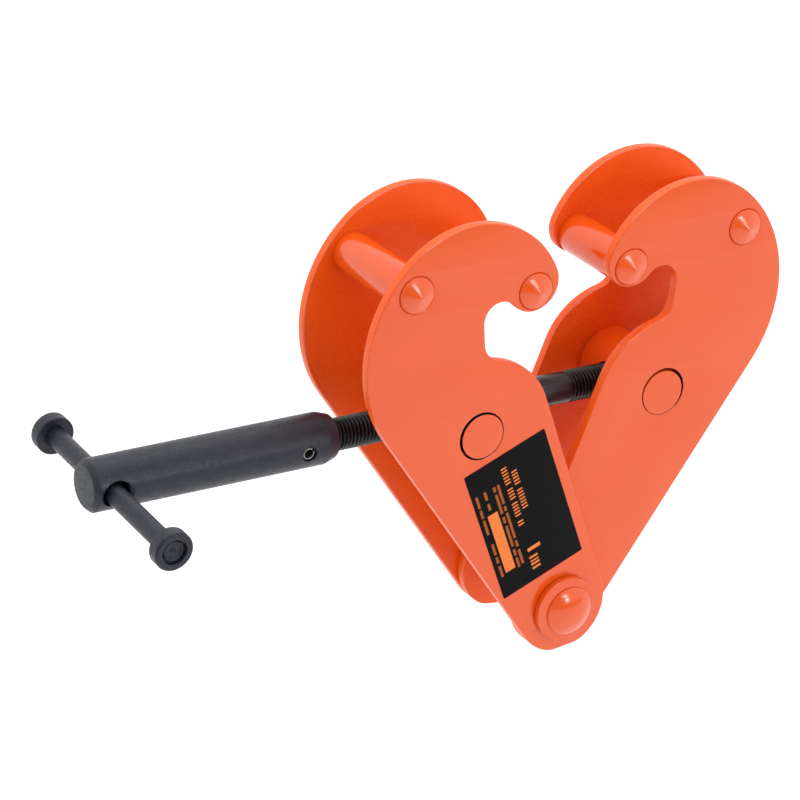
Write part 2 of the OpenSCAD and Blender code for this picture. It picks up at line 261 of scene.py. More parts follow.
def cut(bm, *cutters):
    """bm less its cutters, which are bmeshes too."""
    def temporary(mesh_data, name):
        bmesh.ops.remove_doubles(mesh_data, verts=mesh_data.verts, dist=WELD)
        bmesh.ops.recalc_face_normals(mesh_data, faces=mesh_data.faces)
        mesh = bpy.data.meshes.new(name)
        mesh_data.to_mesh(mesh)
        mesh_data.free()
        obj = bpy.data.objects.new(name, mesh)
        bpy.context.scene.collection.objects.link(obj)
        return obj

    whole = temporary(bm, "uncut")
    tools = [temporary(c, "cutter") for c in cutters]
    for tool in tools:
        boolean = whole.modifiers.new("hole", "BOOLEAN")
        boolean.operation = "DIFFERENCE"
        boolean.solver = "EXACT"
        boolean.object = tool
    seen = whole.evaluated_get(bpy.context.evaluated_depsgraph_get())
    result = bmesh.new()
    result.from_mesh(seen.to_mesh())
    seen.to_mesh_clear()
    for obj in [whole, *tools]:
        mesh = obj.data
        bpy.data.objects.remove(obj)
        bpy.data.meshes.remove(mesh)
    return result


# A thread's section: share of the pitch from the crest's middle, and height from root to crest
THREAD_FORM = [(-0.5, 0), (-0.40, 0.0), (-0.33, 0.14), (-0.12, 0.88), (-0.06, 1),
               (0.06, 1), (0.12, 0.88), (0.33, 0.14), (0.40, 0.0), (0.5, 0)]


def thread(x0, x1, crest_r, root_r, pitch, right_handed, place, steps=64):
    """A helical thread along the local X axis, in a new bmesh, fading out at both ends."""
    bm = bmesh.new()
    first = x0 - pitch / 2
    count = round((x1 - x0 + pitch) / pitch * steps)
    hand = 1 if right_handed else -1
    rows = []
    for n in range(count + 1):
        centre = first + pitch * n / steps
        angle = hand * 2 * math.pi * n / steps
        row = []
        for share, height in THREAD_FORM:
            x = min(max(centre + share * pitch, x0), x1)
            end_fade = min(1, (x - x0) / pitch, (x1 - x) / pitch)
            r = root_r + (crest_r - root_r) * height * max(end_fade, 0)
            point = Vector((x, r * math.cos(angle), r * math.sin(angle)))
            row.append(bm.verts.new(place @ point))
        rows.append(row)
    for near, far in zip(rows, rows[1:]):
        for i in range(len(THREAD_FORM) - 1):
            bm.faces.new([near[i], near[i + 1], far[i + 1], far[i]])
    bmesh.ops.dissolve_degenerate(bm, dist=WELD, edges=bm.edges)
    return bm


def join(*parts):
    """Several bmeshes as one."""
    whole = parts[0]
    for part in parts[1:]:
        mesh = bpy.data.meshes.new("part")
        part.to_mesh(mesh)
        part.free()
        whole.from_mesh(mesh)
        bpy.data.meshes.remove(mesh)
    return whole


# ---------- Materials ----------

class Nodes:
    """A new material's node tree, with a short way to add and join nodes."""

    def __init__(self, name, preview):
        self.material = bpy.data.materials.new(name)
        self.material.use_nodes = True
        self.material.diffuse_color = (*preview, 1)
        self.tree = self.material.node_tree
        self.shader = next(n for n in self.tree.nodes if n.type == "BSDF_PRINCIPLED")
        self.place = self.add("ShaderNodeTexCoord").outputs["Object"]

    def add(self, kind, **settings):
        node = self.tree.nodes.new(kind)
        for key, value in settings.items():
            if hasattr(node, key):
                setattr(node, key, value)
            else:
                node.inputs[key.replace("_", " ")].default_value = value
        return node

    def link(self, output, target):
        self.tree.links.new(output, target)

    def noise(self, scale, detail=2.0, roughness=0.5, place=None):
        node = self.add("ShaderNodeTexNoise", Scale=scale, Detail=detail, Roughness=roughness)
        self.link(place or self.place, node.inputs["Vector"])
        return node.outputs["Fac"]

    def ramp(self, value, stops):
        """Colours or levels along a value: stops are (position, grey or colour)."""
        node = self.add("ShaderNodeValToRGB")
        band = node.color_ramp
        while len(band.elements) < len(stops):
            band.elements.new(0.5)
        for element, (position, level) in zip(band.elements, stops):
            element.position = position
            shade = (level,) * 3 if isinstance(level, (int, float)) else level
            element.color = (*shade, 1)
        self.link(value, node.inputs["Fac"])
        return node.outputs["Color"]

    def mix(self, factor, first, second, blend="MIX"):
        node = self.add("ShaderNodeMix", data_type="RGBA", blend_type=blend)
        for socket, value in zip((0, 6, 7), (factor, first, second)):
            if isinstance(value, bpy.types.NodeSocket):
                self.link(value, node.inputs[socket])
            elif isinstance(value, (int, float)):
                node.inputs[socket].default_value = value
            else:
                node.inputs[socket].default_value = (*value, 1)
        return node.outputs[2]

    def bump(self, height, strength, distance, before=None):
        node = self.add("ShaderNodeBump", Strength=strength, Distance=distance)
        self.link(height, node.inputs["Height"])
        if before:
            self.link(before, node.inputs["Normal"])
        return node.outputs["Normal"]


# Colours: a pair is the darker and the lighter end of a surface's slight changes
ORANGE = ((0.74, 0.08, 0.0035), (0.77, 0.087, 0.005))
# the dry coat's grains, lighter on the whole as painted light on the shaded rims and inner faces
# that take it
DRY_GRAINS_AND_LIGHT = ((1.0, 1.0, 0.9), (1.14, 1.3, 1.2))        # multiplies the orange
# painted shade: the near-black of the narrow gaps round the nuts, laid on the surfaces that turn
# in the plates' holes
GAP_SHADE = (0.012, 0.007, 0.006)
BLACKENED = ((0.0065, 0.0085, 0.0155), (0.012, 0.0145, 0.0245))
RUST = (0.035, 0.022, 0.017)
OILED_BLACK = ((0.0055, 0.005, 0.0062), (0.011, 0.01, 0.012))
ROLLED_STEEL = ((0.16, 0.155, 0.15), (0.36, 0.355, 0.34))

GAP_SHADE_DEPTH = 0.12 * MM   # how far in or out of a turning surface the painted gap shade reaches
RING_MARKS = 190         # turning marks, in waves per metre times the texture's own factor


def distance_from_axis(n, point, across):
    """How far a place is from a line through the point. across is 1 for X, Y or Z where that
    counts and 0 for the one that the line runs along."""
    from_point = n.add("ShaderNodeVectorMath", operation="SUBTRACT")
    n.link(n.place, from_point.inputs[0])
    from_point.inputs[1].default_value = point
    flat = n.add("ShaderNodeVectorMath", operation="MULTIPLY")
    n.link(from_point.outputs[0], flat.inputs[0])
    flat.inputs[1].default_value = across
    length = n.add("ShaderNodeVectorMath", operation="LENGTH")
    n.link(flat.outputs[0], length.inputs[0])
    return length.outputs["Value"]


def paint_material(name, gap_shade_rounds, dry=False):
    """Orange powder coat: glossy, with a faint orange peel and slight changes of depth. On the
    given rounds, the turning surfaces round Y axes as (x, z, radius), it gives way to near-black
    painted shade for the narrow gaps there. A dry coat is grainy and less glossy, as where the
    spray hardly reached, and lighter, as painted light on the shaded faces that it covers."""
    n = Nodes(name, (0.85, 0.1, 0.01))
    tone = n.ramp(n.noise(30, detail=3), [(0.3, ORANGE[0]), (0.7, ORANGE[1])])
    if dry:
        # grains, and a lighter tone as painted light on the shaded faces that take the dry coat
        grains_and_light = n.ramp(n.noise(1500, detail=3), [(0.34, DRY_GRAINS_AND_LIGHT[0]), (0.5, DRY_GRAINS_AND_LIGHT[1])])
        tone = n.mix(1.0, tone, grains_and_light, "MULTIPLY")
    for x, z, r in gap_shade_rounds:
        # near-black painted shade for the narrow gap at each of these rounds
        in_gap_shade = n.add("ShaderNodeMath", operation="COMPARE")
        n.link(distance_from_axis(n, (x, 0, z), (1, 0, 1)), in_gap_shade.inputs[0])
        in_gap_shade.inputs[1].default_value = r
        in_gap_shade.inputs[2].default_value = GAP_SHADE_DEPTH
        tone = n.mix(in_gap_shade.outputs[0], tone, GAP_SHADE)
    n.link(tone, n.shader.inputs["Base Color"])
    n.shader.inputs["Specular IOR Level"].default_value = 0.3 if dry else 0.7
    smoothest, roughest = (0.36, 0.44) if dry else (0.15, 0.2)
    gloss = n.ramp(n.noise(55, detail=2), [(0.3, smoothest), (0.7, roughest)])
    n.link(gloss, n.shader.inputs["Roughness"])
    peel = n.bump(n.noise(420, detail=1), 0.1, 0.03 * MM)
    n.link(peel, n.shader.inputs["Normal"])
    return n.material


def rings_bump(n, centre, axis, before):
    """Fine turning marks round a centre, as a bump. axis is X or Y, across which they lie."""
    moved = n.add("ShaderNodeMapping", vector_type="POINT")
    moved.inputs["Location"].default_value = tuple(-c for c in centre)
    n.link(n.place, moved.inputs["Vector"])
    marks = n.add("ShaderNodeTexWave", wave_type="RINGS", rings_direction=axis,
                  Scale=RING_MARKS, Distortion=3.0, Detail=2.0, Detail_Scale=2.0)
    n.link(moved.outputs["Vector"], marks.inputs["Vector"])
    return n.bump(marks.outputs["Fac"], 0.35, 0.04 * MM, before=before)


def black_material(name, centre, axis):
    """Blackened steel: blue-grey, softly glossy, with a fine grain, a trace of rust and turning
    marks round the centre."""
    n = Nodes(name, (0.03, 0.03, 0.035))
    tone = n.ramp(n.noise(160, detail=4), [(0.3, BLACKENED[0]), (0.7, BLACKENED[1])])
    specks = n.ramp(n.noise(1300, detail=3), [(0.3, 0.55), (0.7, 1.6)])
    tone = n.mix(1.0, tone, specks, "MULTIPLY")
    rusted = n.ramp(n.noise(420, detail=4), [(0.62, 0.0), (0.78, 0.55)])
    n.link(n.mix(rusted, tone, RUST), n.shader.inputs["Base Color"])
    n.shader.inputs["Specular IOR Level"].default_value = 0.4
    gloss = n.ramp(n.noise(600, detail=4), [(0.35, 0.34), (0.65, 0.52)])
    n.link(gloss, n.shader.inputs["Roughness"])
    grain = n.bump(n.noise(1300, detail=3), 0.7, 0.03 * MM)
    n.link(rings_bump(n, centre, axis, grain), n.shader.inputs["Normal"])
    return n.material


def thread_material(axis_at, root_r, crest_r):
    """The spindle's oiled black steel, darker at the thread's root as painted shade and brighter
    at its crests as wear and painted highlight. The spindle's axis runs along X through axis_at."""
    n = Nodes("black_thread", (0.02, 0.02, 0.022))
    tone = n.ramp(n.noise(300, detail=3), [(0.3, OILED_BLACK[0]), (0.7, OILED_BLACK[1])])
    height = n.add("ShaderNodeMapRange", From_Min=root_r, From_Max=crest_r)
    n.link(distance_from_axis(n, axis_at, (0, 1, 1)), height.inputs["Value"])
    # painted shade at the thread's root and painted highlight on its worn crests, set by the
    # distance from the axis
    root_shade_crest_highlight = n.ramp(height.outputs["Result"], [(0.15, 0.15), (0.75, 1.0), (0.97, 2.8)])
    n.link(n.mix(1.0, tone, root_shade_crest_highlight, "MULTIPLY"), n.shader.inputs["Base Color"])
    n.shader.inputs["Specular IOR Level"].default_value = 0.4
    gloss = n.ramp(n.noise(500, detail=2), [(0.3, 0.26), (0.7, 0.34)])
    n.link(gloss, n.shader.inputs["Roughness"])
    n.link(n.bump(n.noise(2000), 0.15, 0.01 * MM), n.shader.inputs["Normal"])
    return n.material


def steel_material():
    """Plain rolled steel for the roll pin and the stop washer."""
    n = Nodes("plain_steel", (0.3, 0.3, 0.29))
    n.shader.inputs["Metallic"].default_value = 1.0
    tone = n.ramp(n.noise(600, detail=4), [(0.3, ROLLED_STEEL[0]), (0.7, ROLLED_STEEL[1])])
    n.link(tone, n.shader.inputs["Base Color"])
    gloss = n.ramp(n.noise(900, detail=2), [(0.3, 0.28), (0.7, 0.45)])
    n.link(gloss, n.shader.inputs["Roughness"])
    n.link(n.bump(n.noise(3000), 0.2, 0.01 * MM), n.shader.inputs["Normal"])
    return n.material


def film_material(name, colour, rough, specular):
    """Printed film: almost even, with a faint grain."""
    n = Nodes(name, colour)
    n.shader.inputs["Specular IOR Level"].default_value = specular
    dark = tuple(0.94 * c for c in colour)
    n.link(n.ramp(n.noise(700, detail=2), [(0.35, dark), (0.65, colour)]),
           n.shader.inputs["Base Color"])
    gloss = n.ramp(n.noise(300, detail=2), [(0.3, rough - 0.04), (0.7, rough + 0.05)])
    n.link(gloss, n.shader.inputs["Roughness"])
    n.link(n.bump(n.noise(1500), 0.1, 0.01 * MM), n.shader.inputs["Normal"])
    return n.material


BLACK = black_material("black_handle", middle("spindle"), "X")
BLACK_TOMMY = black_material("black_tommy_bar", middle("tommy_bar"), "Y")
STEEL = steel_material()
LABEL = film_material("label_film", (0.006, 0.006, 0.006), 0.5, 0.05)
PRINT = film_material("label_print", (0.84, 0.2, 0.03), 0.5, 0.3)
FINE_PRINT = film_material("label_fine_print", (0.8, 0.2, 0.03), 0.5, 0.2)


# ---------- Plates ----------

PLATE_EASE = 0.6 * MM
NUT_END_R = 11.25 * MM       # the nuts' ends, which turn in the plates' larger holes
SIDEWAYS = 0.1               # a face whose normal's Y is below this is on a plate's rim
FLAT = 0.99                  # a face whose normal's Y is above this is on a plate's flat

plates = ("left_plate_front", "left_plate_rear", "right_plate_front", "right_plate_rear")
outlines = {plate: flat_loops(plate) for plate in plates}


def hole_round(loop):
    """(x, z, radius) of a loop, taken as a circle."""
    centre = sum(loop, Vector((0, 0))) / len(loop)
    return centre.x, centre.y, (loop[0] - centre).length


# The surfaces that carry near-black painted shade for the narrow gaps round the nuts: the nuts'
# holes in the plates, and the left nut's ends
gap_shade_places = []
for side in ("left", "right"):
    nut_at = Vector((middle(side + "_nut").x, middle(side + "_nut").z))
    if side == "left":
        gap_shade_places.append((nut_at.x, nut_at.y, NUT_END_R))
    rounds = [hole_round(loop) for loop in outlines[side + "_plate_front"]]
    gap_shade_places.append(min(rounds, key=lambda found: (Vector(found[:2]) - nut_at).length))
PAINT = paint_material("orange_powder_coat", gap_shade_places)
DRY_LIT_PAINT = paint_material("orange_dry_lit_coat", gap_shade_places, dry=True)

for plate in plates:
    front_y, back_y = reach(plate, 1)
    outer_y = max(front_y, back_y, key=abs)
    finish = add_piece(plate + "_finish", slab(outlines[plate], front_y, back_y, PLATE_EASE),
                       plate, PAINT)
    # the rim and the inner face have the dry coat, grainy and lighter as painted light on these
    # shaded faces, and the rounded edges the glossy one
    finish.data.materials.append(DRY_LIT_PAINT)
    for face in finish.data.polygons:
        facing = abs(face.normal.y)
        on_rim = facing < SIDEWAYS
        on_inner_face = facing > FLAT and abs(face.center.y - outer_y) > PLATE_EASE
        if on_rim or on_inner_face:
            face.material_index = 1


# ---------- Cross bars ----------

BAR_END_R = 9 * MM
BAR_RIM = 0.8 * MM       # straight rim beyond the plate, below the point
BAR_EASE = 1.2 * MM      # rounding between the rim and the point
BAR_TIP_R = 0.3 * MM

for side in ("left", "right"):
    outer_y = reach(f"{side}_plate_rear", 1)[1]
    inner_y = reach(f"{side}_plate_rear", 1)[0]
    for bar in (f"{side}_outer_bar", f"{side}_inner_bar"):
        tip = reach(bar, 1)[1]
        half = [
            (tip, 0),
            (tip, BAR_TIP_R),
            (outer_y + BAR_RIM, BAR_END_R),
            (inner_y, BAR_END_R),
            (inner_y, radius(bar)),
        ]
        place = Matrix.Translation(middle(bar)) @ ALONG_Y
        add_piece(bar + "_finish", turned(eased(mirrored(half), BAR_EASE), place),
                  bar, PAINT)


# ---------- Load bar ----------

WASHER_EASE = 0.4 * MM
HEAD_EASE = 0.4 * MM
HEAD_R = 12.5 * MM
HEAD_RIM = 0.7 * MM      # straight rim below the dome
HEAD_ASIDE = 1.5 * MM    # the heads sit off the bar's axis
HEAD_DOWN = 1.3 * MM
JOURNAL_R = 8 * MM       # the bar's thinner ends, on which the jaws turn
LOAD_BAR_R = 11 * MM
LOAD_BAR_EASE = 0.4 * MM
DOME_STEPS = 14

head_foot = reach("load_washer_rear", 1)[1]
head_top = reach("load_bar", 1)[1]
dome_h = head_top - head_foot - HEAD_RIM
dome_r = (HEAD_R ** 2 + dome_h ** 2) / (2 * dome_h)
shoulder = reach("right_plate_rear", 1)[0] - SIDE_PLAY
bar_half = [
    (head_foot + HEAD_RIM, 0),
    (head_foot + HEAD_RIM, JOURNAL_R),
    (shoulder, JOURNAL_R),
    (shoulder, LOAD_BAR_R),
]
bar = turned(eased(mirrored(bar_half), LOAD_BAR_EASE), ALONG_Y)
head = [(head_foot, 0), (head_foot, HEAD_R), (head_foot + HEAD_RIM, HEAD_R)]
for k in range(1, DOME_STEPS + 1):
    slope = math.asin(HEAD_R / dome_r) * (1 - k / DOME_STEPS)
    head.append((head_top - dome_r * (1 - math.cos(slope)), dome_r * math.sin(slope)))
heads = []
off_axis = Matrix.Translation((HEAD_ASIDE, 0, -HEAD_DOWN))
for turn in (0, math.pi):
    place = off_axis @ Matrix.Rotation(turn, 4, "X") @ ALONG_Y
    heads.append(turned(eased(head, HEAD_EASE), place))
add_piece("load_bar_finish", join(bar, *heads), "load_bar", PAINT)

for washer in ("load_washer_front", "load_washer_rear"):
    y0, y1 = reach(washer, 1)
    bore = JOURNAL_R + FIT_GAP
    ring = [(y0, bore), (y0, radius(washer)), (y1, radius(washer)), (y1, bore)]
    add_piece(washer + "_finish",
              turned(eased(ring, WASHER_EASE, closed=True), ALONG_Y, closed=True),
              washer, PAINT)


# ---------- Trunnion nuts ----------

NUT_CHAMFER = 0.8 * MM
THREAD_PLAY = 0.3 * MM       # gap between the spindle's crests and the nuts' bores

spindle_y, spindle_z = middle("spindle").y, middle("spindle").z
on_spindle = Matrix.Translation((0, spindle_y, spindle_z))
crest_r = radius("spindle", 1)

for side in ("left", "right"):
    nut = side + "_nut"
    barrel = reach(f"{side}_plate_rear", 1)[0] - SIDE_PLAY
    end = reach(nut, 1)[1]
    half = [
        (end, 0),
        (end, NUT_END_R),
        (barrel, NUT_END_R),
        (barrel, radius(nut) - NUT_CHAMFER),
        (barrel - NUT_CHAMFER, radius(nut)),
    ]
    place = Matrix.Translation(middle(nut)) @ ALONG_Y
    x0, x1 = reach(nut, 0)
    bore_r = crest_r + THREAD_PLAY
    bore = turned(
        [(x0 - PAST_END, 0), (x0 - PAST_END, bore_r), (x1 + PAST_END, bore_r), (x1 + PAST_END, 0)],
        on_spindle)
    add_piece(nut + "_finish", cut(turned(eased(mirrored(half), SMALL_EASE), place), bore),
              nut, PAINT)


# ---------- Spindle ----------

PITCH = 2 * MM
THREAD_DEPTH = 1.2 * MM
PLAIN_HALF = 13 * MM         # half the plain stretch between the threads
PLAIN_R = 7.7 * MM
JOURNAL_X = 110 * MM         # where the right-hand thread ends and the stop's journal begins
STOP_JOURNAL_R = 5.5 * MM
GROOVE_R = 5 * MM            # the retaining ring's groove
SHANK_R = 6.8 * MM           # the plain end inside the handle's sleeve

shank_x, tip_x = reach("spindle", 0)
sleeve_out, sleeve_in = reach("handle_sleeve", 0)
ring_in, ring_out = reach("retaining_ring", 0)
root_r = crest_r - THREAD_DEPTH
core = [
    (shank_x, 0),
    (shank_x, SHANK_R),
    (sleeve_in, SHANK_R),
    (sleeve_in, root_r),
    (-PLAIN_HALF - PITCH, root_r),
    (-PLAIN_HALF, PLAIN_R),
    (PLAIN_HALF, PLAIN_R),
    (PLAIN_HALF + PITCH, root_r),
    (JOURNAL_X, root_r),
    (JOURNAL_X, STOP_JOURNAL_R),
    (ring_in, STOP_JOURNAL_R),
    (ring_in, GROOVE_R),
    (ring_out, GROOVE_R),
    (ring_out, STOP_JOURNAL_R),
    (tip_x, STOP_JOURNAL_R),
    (tip_x, 0),
]
left_thread = thread(sleeve_in, -PLAIN_HALF, crest_r, root_r, PITCH, False, on_spindle)
right_thread = thread(PLAIN_HALF, JOURNAL_X, crest_r, root_r, PITCH, True, on_spindle)
add_piece("spindle_finish",
          join(turned(eased(core, SMALL_EASE), on_spindle), left_thread, right_thread),
          "spindle", thread_material(middle("spindle"), root_r, crest_r))


# ---------- Stop on the spindle's far end ----------

def flat_ring(node, bore_r, ease):
    """Profile of a washer that lies across the spindle."""
    x0, x1 = reach(node, 0)
    r = radius(node, 1)
    return eased([(x0, bore_r), (x0, r), (x1, r), (x1, bore_r)], ease, closed=True)


add_piece("stop_washer_finish",
          turned(flat_ring("stop_washer", STOP_JOURNAL_R + FIT_GAP, SMALL_EASE),
                 on_spindle, closed=True),
          "stop_washer", STEEL)

RING_GAP_HALF = 2.5 * MM
RING_GAP_AT = 90             # degrees, where the gap faces
RING_EASE = 0.15 * MM
ring_r = radius("retaining_ring", 1)
ring_bore = GROOVE_R + FIT_GAP
outer_gap = math.degrees(math.asin(RING_GAP_HALF / ring_r))
inner_gap = math.degrees(math.asin(RING_GAP_HALF / ring_bore))
gap_end = RING_GAP_AT + 360
ring_loop = (arc(ring_r, RING_GAP_AT + outer_gap, gap_end - outer_gap)
             + arc(ring_bore, RING_GAP_AT + inner_gap, gap_end - inner_gap)[::-1])
across_spindle = on_spindle @ Matrix.Rotation(math.pi / 2, 4, "Z")
add_piece("retaining_ring_finish",
          slab([ring_loop], -ring_out, -ring_in, RING_EASE, across_spindle),
          "retaining_ring", BLACK)


# ---------- Handle ----------

HANDLE_TURN = math.radians(5.5)  # the sleeve's turn from level, front end down
TOMMY_TILT = math.radians(3.3)   # the loose tommy bar's tilt from level, front end down

handle_turn = Matrix.Rotation(HANDLE_TURN, 4, "X")


def on_handle(x):
    """Puts a piece drawn along the local X axis across the spindle, at x along it."""
    return Matrix.Translation((x, spindle_y, spindle_z)) @ handle_turn @ ALONG_Y


SLEEVE_END_R = 10.25 * MM    # the sleeve's outer end face
SLEEVE_CHAMFER = 2.2 * MM    # length of the chamfer round it
SLEEVE_MOUTH_R = 10.5 * MM   # its inner end face
SLEEVE_TAPER = 6 * MM        # length of the taper towards it
SLEEVE_EASE = 0.5 * MM
SHANK_ROOM = 1 * MM          # between the spindle's end and the bottom of the sleeve's bore
PIN_HOLE_R = 3.3 * MM
PIN_MOUTH_R = 3.75 * MM      # the pin's hole is wider near the surface
PIN_MOUTH_DEPTH = 1.6 * MM
TOMMY_HOLE_X = -234.3 * MM
TOMMY_HOLE_R = 6.6 * MM
TOMMY_MOUTH_R = 8.2 * MM
SLEEVE_SIDES = 256
PIN_HOLE_SIDES = 64
TOMMY_HOLE_SIDES = 96

sleeve_r = radius("handle_sleeve", 1)
pin_x = middle("roll_pin").x
sleeve = [
    (sleeve_out, 0),
    (sleeve_out, SLEEVE_END_R),
    (sleeve_out + SLEEVE_CHAMFER, sleeve_r),
    (sleeve_in - SLEEVE_TAPER, sleeve_r),
    (sleeve_in, SLEEVE_MOUTH_R),
    (sleeve_in, SHANK_R + FIT_GAP),
    (shank_x - SHANK_ROOM, SHANK_R + FIT_GAP),
    (shank_x - SHANK_ROOM, 0),
]
far = sleeve_r + PAST_SIDE
pin_hole = turned(
    mirrored([
        (far, 0),
        (far, PIN_MOUTH_R),
        (sleeve_r - PIN_MOUTH_DEPTH, PIN_MOUTH_R),
        (sleeve_r - PIN_MOUTH_DEPTH, PIN_HOLE_R),
    ]),
    on_handle(pin_x), sides=PIN_HOLE_SIDES)
mouth = TOMMY_MOUTH_R - TOMMY_HOLE_R
tommy_hole_half = [
    (far, 0),
    (far, TOMMY_MOUTH_R + PAST_SIDE),
    (sleeve_r - mouth, TOMMY_HOLE_R),
]
tommy_hole = turned(eased(mirrored(tommy_hole_half), SMALL_EASE),
                    on_handle(TOMMY_HOLE_X), sides=TOMMY_HOLE_SIDES)
add_piece("handle_sleeve_finish",
          cut(turned(eased(sleeve, SLEEVE_EASE), on_spindle, sides=SLEEVE_SIDES),
              pin_hole, tommy_hole),
          "handle_sleeve", BLACK)

# The roll pin: a rolled sleeve with an open slot along it
PIN_R = 3 * MM
PIN_BORE_R = 2.2 * MM
PIN_SLOT_HALF = 0.6 * MM
PIN_SLOT_AT = 35             # degrees, where the slot faces
PIN_EASE = 0.35 * MM
PIN_SUNK = 1.1 * MM          # how far its ends lie below the sleeve's surface
pin_end = sleeve_r - PIN_SUNK
pin_outer_gap = math.degrees(math.asin(PIN_SLOT_HALF / PIN_R))
pin_inner_gap = math.degrees(math.asin(PIN_SLOT_HALF / PIN_BORE_R))
slot_end = PIN_SLOT_AT + 360
pin_loop = (arc(PIN_R, PIN_SLOT_AT + pin_outer_gap, slot_end - pin_outer_gap)
            + arc(PIN_BORE_R, PIN_SLOT_AT + pin_inner_gap, slot_end - pin_inner_gap)[::-1])
pin_place = Matrix.Translation((pin_x, spindle_y, spindle_z)) @ handle_turn
add_piece("roll_pin_finish", slab([pin_loop], -pin_end, pin_end, PIN_EASE, pin_place),
          "roll_pin", STEEL)

# The tommy bar and its caps. Its middle has slid along its own tilted axis.
TOMMY_R = 4.85 * MM
TOMMY_EASE = 0.25 * MM
CAP_LEN = 7 * MM
CAP_BACK_CHAMFER = 0.4 * MM
CAP_FACE_CHAMFER = 0.8 * MM
CAP_RECESS = 2.4 * MM        # depth of the recess in a cap's face
CAP_RECESS_R = 6.05 * MM
DISH_R = 3.9 * MM            # shallow dish turned in the bar's ends, round a centre dimple
DISH_EDGE = 0.4 * MM         # width of the dish's sloping edge
DISH = 0.6 * MM
DIMPLE_R = 1.6 * MM
DIMPLE = 1.6 * MM            # depth of the dimple
DIMPLE_TIP = 0.35            # radius where the dimple's tip begins, as a share of its own
DIMPLE_TIP_AT = 0.8          # depth at which that is, likewise

tommy_middle = middle("tommy_bar")
near_end = reach("tommy_cap_near", 1)[0]
cap_r = radius("tommy_cap_near")
# a cap's edge reaches further than its axis does, because the bar is tilted
tommy_half = ((tommy_middle.y - near_end) - cap_r * math.sin(TOMMY_TILT)) / math.cos(TOMMY_TILT)
on_tommy = Matrix.Translation(tommy_middle) @ Matrix.Rotation(TOMMY_TILT, 4, "X") @ ALONG_Y
bar_end = tommy_half - CAP_RECESS / 2
tommy_profile = [
    (bar_end - DIMPLE, 0),
    (bar_end - DIMPLE * DIMPLE_TIP_AT, DIMPLE_R * DIMPLE_TIP),
    (bar_end - DISH, DIMPLE_R),
    (bar_end - DISH, DISH_R - DISH_EDGE),
    (bar_end, DISH_R),
    (bar_end, TOMMY_R),
]
add_piece("tommy_bar_finish", turned(eased(mirrored(tommy_profile), TOMMY_EASE), on_tommy),
          "tommy_bar", BLACK_TOMMY)

cap = [
    (tommy_half - CAP_LEN, TOMMY_R + FIT_GAP),
    (tommy_half - CAP_LEN, cap_r - CAP_BACK_CHAMFER),
    (tommy_half - CAP_LEN + CAP_BACK_CHAMFER, cap_r),
    (tommy_half - CAP_FACE_CHAMFER, cap_r),
    (tommy_half, cap_r - CAP_FACE_CHAMFER),
    (tommy_half, CAP_RECESS_R),
    (tommy_half - CAP_RECESS, CAP_RECESS_R),
    (tommy_half - CAP_RECESS, TOMMY_R + FIT_GAP),
]
for node, way in (("tommy_cap_near", -1), ("tommy_cap_far", 1)):
    outline = eased([(way * d, r) for d, r in cap], TOMMY_EASE, closed=True)
    add_piece(node + "_finish", turned(outline, on_tommy, closed=True),
              node, BLACK_TOMMY)


# ---------- Rating label ----------

LABEL_W = 46.8 * MM
LABEL_LEN = 75 * MM
LABEL_TURN = math.radians(21.6)
LABEL_CORNER = 0.6 * MM
LABEL_EASE = 0.08 * MM
PRINT_T = 0.02 * MM          # how far the print stands above the film
PRINT_SUNK = 0.01 * MM       # how far it reaches into the film
PRINT_CORNER = 0.08 * MM
PRINT_EASE = 0.005 * MM


def rounded_rectangle(x0, x1, z0, z1, corner):
    """An anticlockwise rectangle with rounded corners."""
    loop = []
    for cx, cz, start in ((x1 - corner, z0 + corner, -90), (x1 - corner, z1 - corner, 0),
                          (x0 + corner, z1 - corner, 90), (x0 + corner, z0 + corner, 180)):
        loop += arc(corner, start, start + 90, (cx, cz), points=4)
    return loop


label_front, label_back = reach("rating_label", 1)
label_at = Vector((middle("rating_label").x, 0, middle("rating_label").z))
on_label = Matrix.Translation(label_at) @ Matrix.Rotation(-LABEL_TURN, 4, "Y")
label_loop = rounded_rectangle(-LABEL_W / 2, LABEL_W / 2, -LABEL_LEN / 2, LABEL_LEN / 2,
                               LABEL_CORNER)
add_piece("rating_label_film",
          slab([label_loop], label_front + PRINT_T, label_back, LABEL_EASE, on_label, steps=2),
          "rating_label", LABEL)

# Generic print: rows of plain strokes that run along the label's length, in groups like words.
# Each row is (left edge, right edge, top, word lengths), in millimetres from the label's centre.
# Each block is (left, right, bottom, top), likewise.
WORD_GAP = 1.6
STROKE = 0.45            # a stroke's width, as a share of the spacing between strokes
SPACING = 0.45           # that spacing, as a share of a row's height ...
SPACING_MORE = 0.35      # ... and what is added to it, in millimetres
large_rows = [
    (0.2, 3.4, 26.0, (9.5, 12.5)),
    (-4.5, -1.3, 30.5, (11.0, 7.0, 9.5, 3.0)),
]
fine_rows = [
    (-8.9, -7.5, 23.5, (11.5, 2.5, 15.5, 4.0, 9.0)),
    (-11.3, -9.9, 23.5, (3.0, 12.0, 4.0, 13.0, 3.5, 5.5)),
    (-16.6, -15.1, 23.9, (5.5, 4.5)),
    (-21.4, -20.0, 23.8, (6.5, 4.5, 8.5)),
    (-21.1, -19.7, -5.2, (6.5, 4.0, 6.5)),
]
print_block = (-18.3, -12.6, -24.4, 10.5)
rating_mark = [(-4.0, 3.4, -20.9, -18.9), (-4.4, 0.4, -25.2, -24.0),
               (-4.4, 0.4, -27.2, -26.4), (-4.4, 0.4, -29.2, -28.0), (-4.4, 0.4, -31.6, -30.4)]


